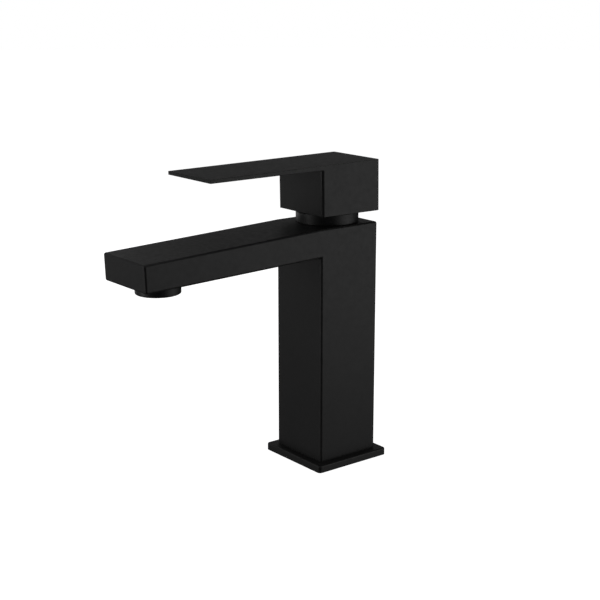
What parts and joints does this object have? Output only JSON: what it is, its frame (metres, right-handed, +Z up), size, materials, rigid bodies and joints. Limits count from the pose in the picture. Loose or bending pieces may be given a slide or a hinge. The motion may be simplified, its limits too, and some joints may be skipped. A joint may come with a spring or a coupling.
{
  "type": "basin mixer faucet",
  "caption": "Square single-lever basin mixer: upright column on a square base plate, flat straight spout with a round aerator, and a flat lever over a ceramic cartridge.",
  "frame": {"origin": "in the deck plane, under the column's vertical axis", "axes": "+Z up along the column, -Y along the spout towards its tip, +X across the width"},
  "size_m": [0.0496, 0.1568, 0.1727],
  "materials": {
    "matte_black_coat": "matte black powder coat, fine texture",
    "black_rubber": "matte",
    "white_acetal": "moulded satin",
    "grey_acetal": "moulded satin",
    "alumina": "lapped",
    "stainless_steel": "turned",
    "bare_brass": "machined",
    "black_plastic": "moulded, fine texture"
  },
  "bodies": {
    "mixer_body": {"body_casting": "matte_black_coat", "base_plate": "matte_black_coat", "base_gasket": "black_rubber", "cartridge_base": "white_acetal", "port_seals": "black_rubber", "disc_seals": "black_rubber", "fixed_disc": "alumina", "cartridge_housing": "white_acetal", "retaining_nut": "bare_brass", "cover_ring": "matte_black_coat", "aerator_housing": "matte_black_coat", "aerator_insert": "grey_acetal", "aerator_seal": "black_rubber", "aerator_diffuser": "white_acetal", "flow_regulator": "white_acetal", "inlet_screen": "stainless_steel"},
    "rotor": {"cartridge_rotor": "grey_acetal", "rotor_seal": "black_rubber", "pivot_pin": "stainless_steel"},
    "lever": {"lever_stem": "bare_brass", "lever_handle": "matte_black_coat", "grub_screw": "stainless_steel", "index_cap": "black_plastic"},
    "slider": {"disc_slider": "grey_acetal", "moving_disc": "alumina"}
  },
  "joints": [
    {"name": "temperature_turn", "type": "hinge", "parent": "mixer_body", "child": "rotor", "pos_m": [0, 0, 0.131], "axis": [0, 0, 1], "range_deg": [-45, 45]},
    {"name": "lever_lift", "type": "hinge", "parent": "rotor", "child": "lever", "pos_m": [0, 0, 0.131], "axis": [-1, 0, 0], "range_deg": [0, 14]},
    {"name": "disc_slide", "type": "slide", "parent": "rotor", "child": "slider", "axis": [0, -1, 0], "range_m": [0, 0.0039]}
  ],
  "couplings": [
    {"joint": "disc_slide", "follows": "lever_lift", "m_per_rad": 0.015841}
  ]
}
